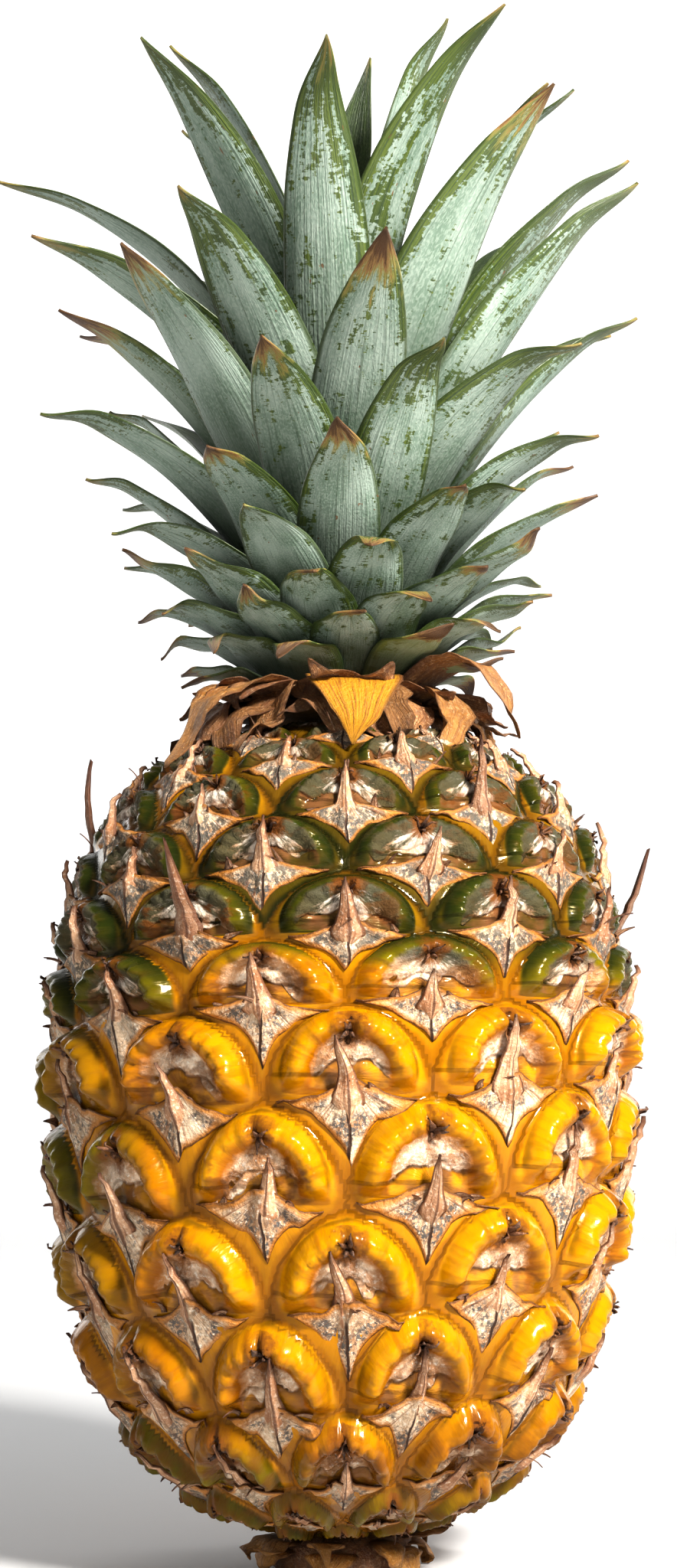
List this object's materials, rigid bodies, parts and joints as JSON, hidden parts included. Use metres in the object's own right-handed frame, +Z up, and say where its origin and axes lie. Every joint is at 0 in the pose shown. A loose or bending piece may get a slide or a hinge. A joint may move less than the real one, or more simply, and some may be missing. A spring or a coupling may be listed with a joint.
{
  "type": "pineapple",
  "caption": "Ripe whole pineapple standing upright on its cut stalk, with spiralled eyes, spiny papery bracts and a full crown of pointed leaves.",
  "frame": {"origin": "centre of the stalk's flat cut face, on the surface the fruit stands on", "axes": "+Z up along the fruit's axis to the crown, -Y towards the front, +X to the right seen from the front"},
  "size_m": [0.1268, 0.1165, 0.299],
  "materials": {
    "rind": "waxy, golden with olive and tan",
    "dry_stalk": "dry, fibrous",
    "withered_leaf": "dry, papery",
    "crown_leaf": "matt silvery scurf over green"
  },
  "bodies": {
    "root": {"fruit": "rind", "cut_stalk": "dry_stalk", "withered_collar": "withered_leaf", "crown_stem": "crown_leaf", "leaf_01": "crown_leaf", "leaf_02": "crown_leaf", "leaf_03": "crown_leaf", "leaf_04": "crown_leaf", "leaf_05": "crown_leaf", "leaf_06": "crown_leaf", "leaf_07": "crown_leaf", "leaf_08": "crown_leaf", "leaf_09": "crown_leaf", "leaf_10": "crown_leaf", "leaf_11": "crown_leaf", "leaf_12": "crown_leaf", "leaf_13": "crown_leaf", "leaf_14": "crown_leaf", "leaf_15": "crown_leaf", "leaf_16": "crown_leaf", "leaf_17": "crown_leaf", "leaf_18": "crown_leaf", "leaf_19": "crown_leaf", "leaf_20": "crown_leaf", "leaf_21": "crown_leaf", "leaf_22": "crown_leaf", "leaf_23": "crown_leaf", "leaf_24": "crown_leaf", "leaf_25": "crown_leaf", "leaf_26": "crown_leaf", "leaf_27": "crown_leaf", "leaf_28": "crown_leaf", "leaf_29": "crown_leaf", "leaf_30": "crown_leaf", "leaf_31": "crown_leaf", "leaf_32": "crown_leaf", "leaf_33": "crown_leaf", "leaf_34": "crown_leaf", "leaf_35": "crown_leaf", "leaf_36": "crown_leaf", "leaf_37": "crown_leaf", "leaf_38": "crown_leaf", "leaf_39": "crown_leaf", "leaf_40": "crown_leaf", "leaf_41": "crown_leaf", "leaf_42": "crown_leaf", "leaf_43": "crown_leaf", "leaf_44": "crown_leaf", "leaf_45": "crown_leaf", "leaf_46": "crown_leaf", "leaf_47": "crown_leaf", "leaf_48": "crown_leaf", "leaf_49": "crown_leaf", "leaf_50": "crown_leaf", "leaf_51": "crown_leaf", "leaf_52": "crown_leaf", "leaf_53": "crown_leaf", "leaf_54": "crown_leaf", "leaf_55": "crown_leaf"}
  },
  "joints": []
}
